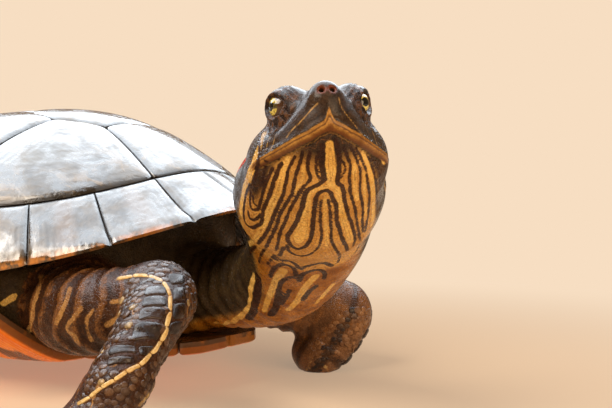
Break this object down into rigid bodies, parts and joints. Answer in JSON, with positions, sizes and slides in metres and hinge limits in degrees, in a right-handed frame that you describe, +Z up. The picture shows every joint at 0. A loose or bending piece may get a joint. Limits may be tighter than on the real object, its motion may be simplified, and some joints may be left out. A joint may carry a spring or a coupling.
{
  "type": "red-eared slider turtle model",
  "caption": "Still life-size pond turtle standing on its feet, shell of separate plates, striped neck stretched out and turned to its right, head raised.",
  "frame": {"origin": "middle of the model's bounding box in the plan, at the level of the soles", "axes": "+Z up; the shell's length runs along Y with its neck end towards -Y; the turtle's left is +X. The neck and head turn towards -X."},
  "size_m": [0.197, 0.2633, 0.0845],
  "materials": {
    "vertebral_plate": "wet dark olive-brown horn with fine growth lines",
    "costal_plate": "wet dark olive-brown horn with faint yellow bars",
    "marginal_plate": "wet dark horn with an orange-yellow edge",
    "plastron_plate": "satin orange-yellow horn with dark blotches",
    "skin": "damp scaly skin, dark brown to golden ochre with yellow stripes",
    "eye": "wet, yellow-green iris with a black pupil"
  },
  "bodies": {
    "root": {"vertebral_1": "vertebral_plate", "vertebral_2": "vertebral_plate", "vertebral_3": "vertebral_plate", "vertebral_4": "vertebral_plate", "vertebral_5": "vertebral_plate", "nuchal": "marginal_plate", "costal_left_1": "costal_plate", "costal_left_2": "costal_plate", "costal_left_3": "costal_plate", "costal_left_4": "costal_plate", "marginal_left_1": "marginal_plate", "marginal_left_2": "marginal_plate", "marginal_left_3": "marginal_plate", "marginal_left_4": "marginal_plate", "marginal_left_5": "marginal_plate", "marginal_left_6": "marginal_plate", "marginal_left_7": "marginal_plate", "marginal_left_8": "marginal_plate", "marginal_left_9": "marginal_plate", "marginal_left_10": "marginal_plate", "marginal_left_11": "marginal_plate", "marginal_left_12": "marginal_plate", "gular_left": "plastron_plate", "humeral_left": "plastron_plate", "pectoral_left": "plastron_plate", "abdominal_left": "plastron_plate", "femoral_left": "plastron_plate", "anal_left": "plastron_plate", "costal_right_1": "costal_plate", "costal_right_2": "costal_plate", "costal_right_3": "costal_plate", "costal_right_4": "costal_plate", "marginal_right_1": "marginal_plate", "marginal_right_2": "marginal_plate", "marginal_right_3": "marginal_plate", "marginal_right_4": "marginal_plate", "marginal_right_5": "marginal_plate", "marginal_right_6": "marginal_plate", "marginal_right_7": "marginal_plate", "marginal_right_8": "marginal_plate", "marginal_right_9": "marginal_plate", "marginal_right_10": "marginal_plate", "marginal_right_11": "marginal_plate", "marginal_right_12": "marginal_plate", "gular_right": "plastron_plate", "humeral_right": "plastron_plate", "pectoral_right": "plastron_plate", "abdominal_right": "plastron_plate", "femoral_right": "plastron_plate", "anal_right": "plastron_plate", "leg_front_right": "skin", "leg_front_left": "skin", "leg_hind_right": "skin", "leg_hind_left": "skin", "trunk": "skin", "tail": "skin", "neck": "skin", "head": "skin", "eye_left": "eye", "eye_right": "eye"}
  },
  "joints": []
}
